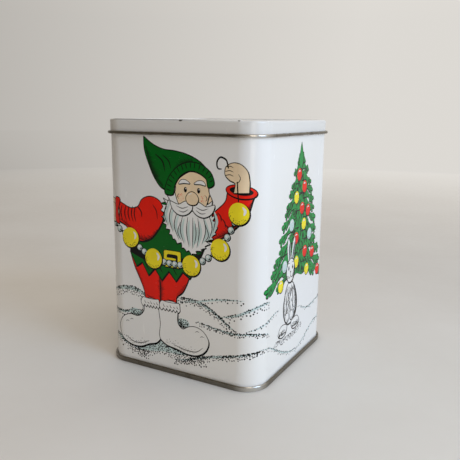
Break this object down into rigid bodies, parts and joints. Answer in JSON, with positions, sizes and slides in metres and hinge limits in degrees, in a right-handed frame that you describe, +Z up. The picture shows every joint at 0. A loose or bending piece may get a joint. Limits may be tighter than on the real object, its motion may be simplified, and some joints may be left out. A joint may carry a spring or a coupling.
{
  "type": "cookie tin",
  "caption": "Tall square tin box with rounded upright corners, a slip-over lid with a rolled edge and a double-seamed bottom.",
  "frame": {"origin": "middle of the foot, on the plane that the bottom seam stands on", "axes": "+Z up, towards the lid; the front picture faces -Y and the side picture faces +X"},
  "size_m": [0.1308, 0.1308, 0.18],
  "materials": {
    "printed_tinplate": "glossy white ground coat with a printed picture",
    "bare_tinplate": "bare tin coating, bright, with fine rolling lines",
    "white_tinplate": "glossy plain white coat, worn to bare metal on the rolled edge"
  },
  "bodies": {
    "tin": {"body_wall": "printed_tinplate", "bottom_end": "bare_tinplate"},
    "lid": {"lid": "white_tinplate"}
  },
  "joints": [
    {"name": "lid_lift", "type": "slide", "parent": "tin", "child": "lid", "axis": [0, 0, 1], "range_m": [0, 0.15]}
  ]
}
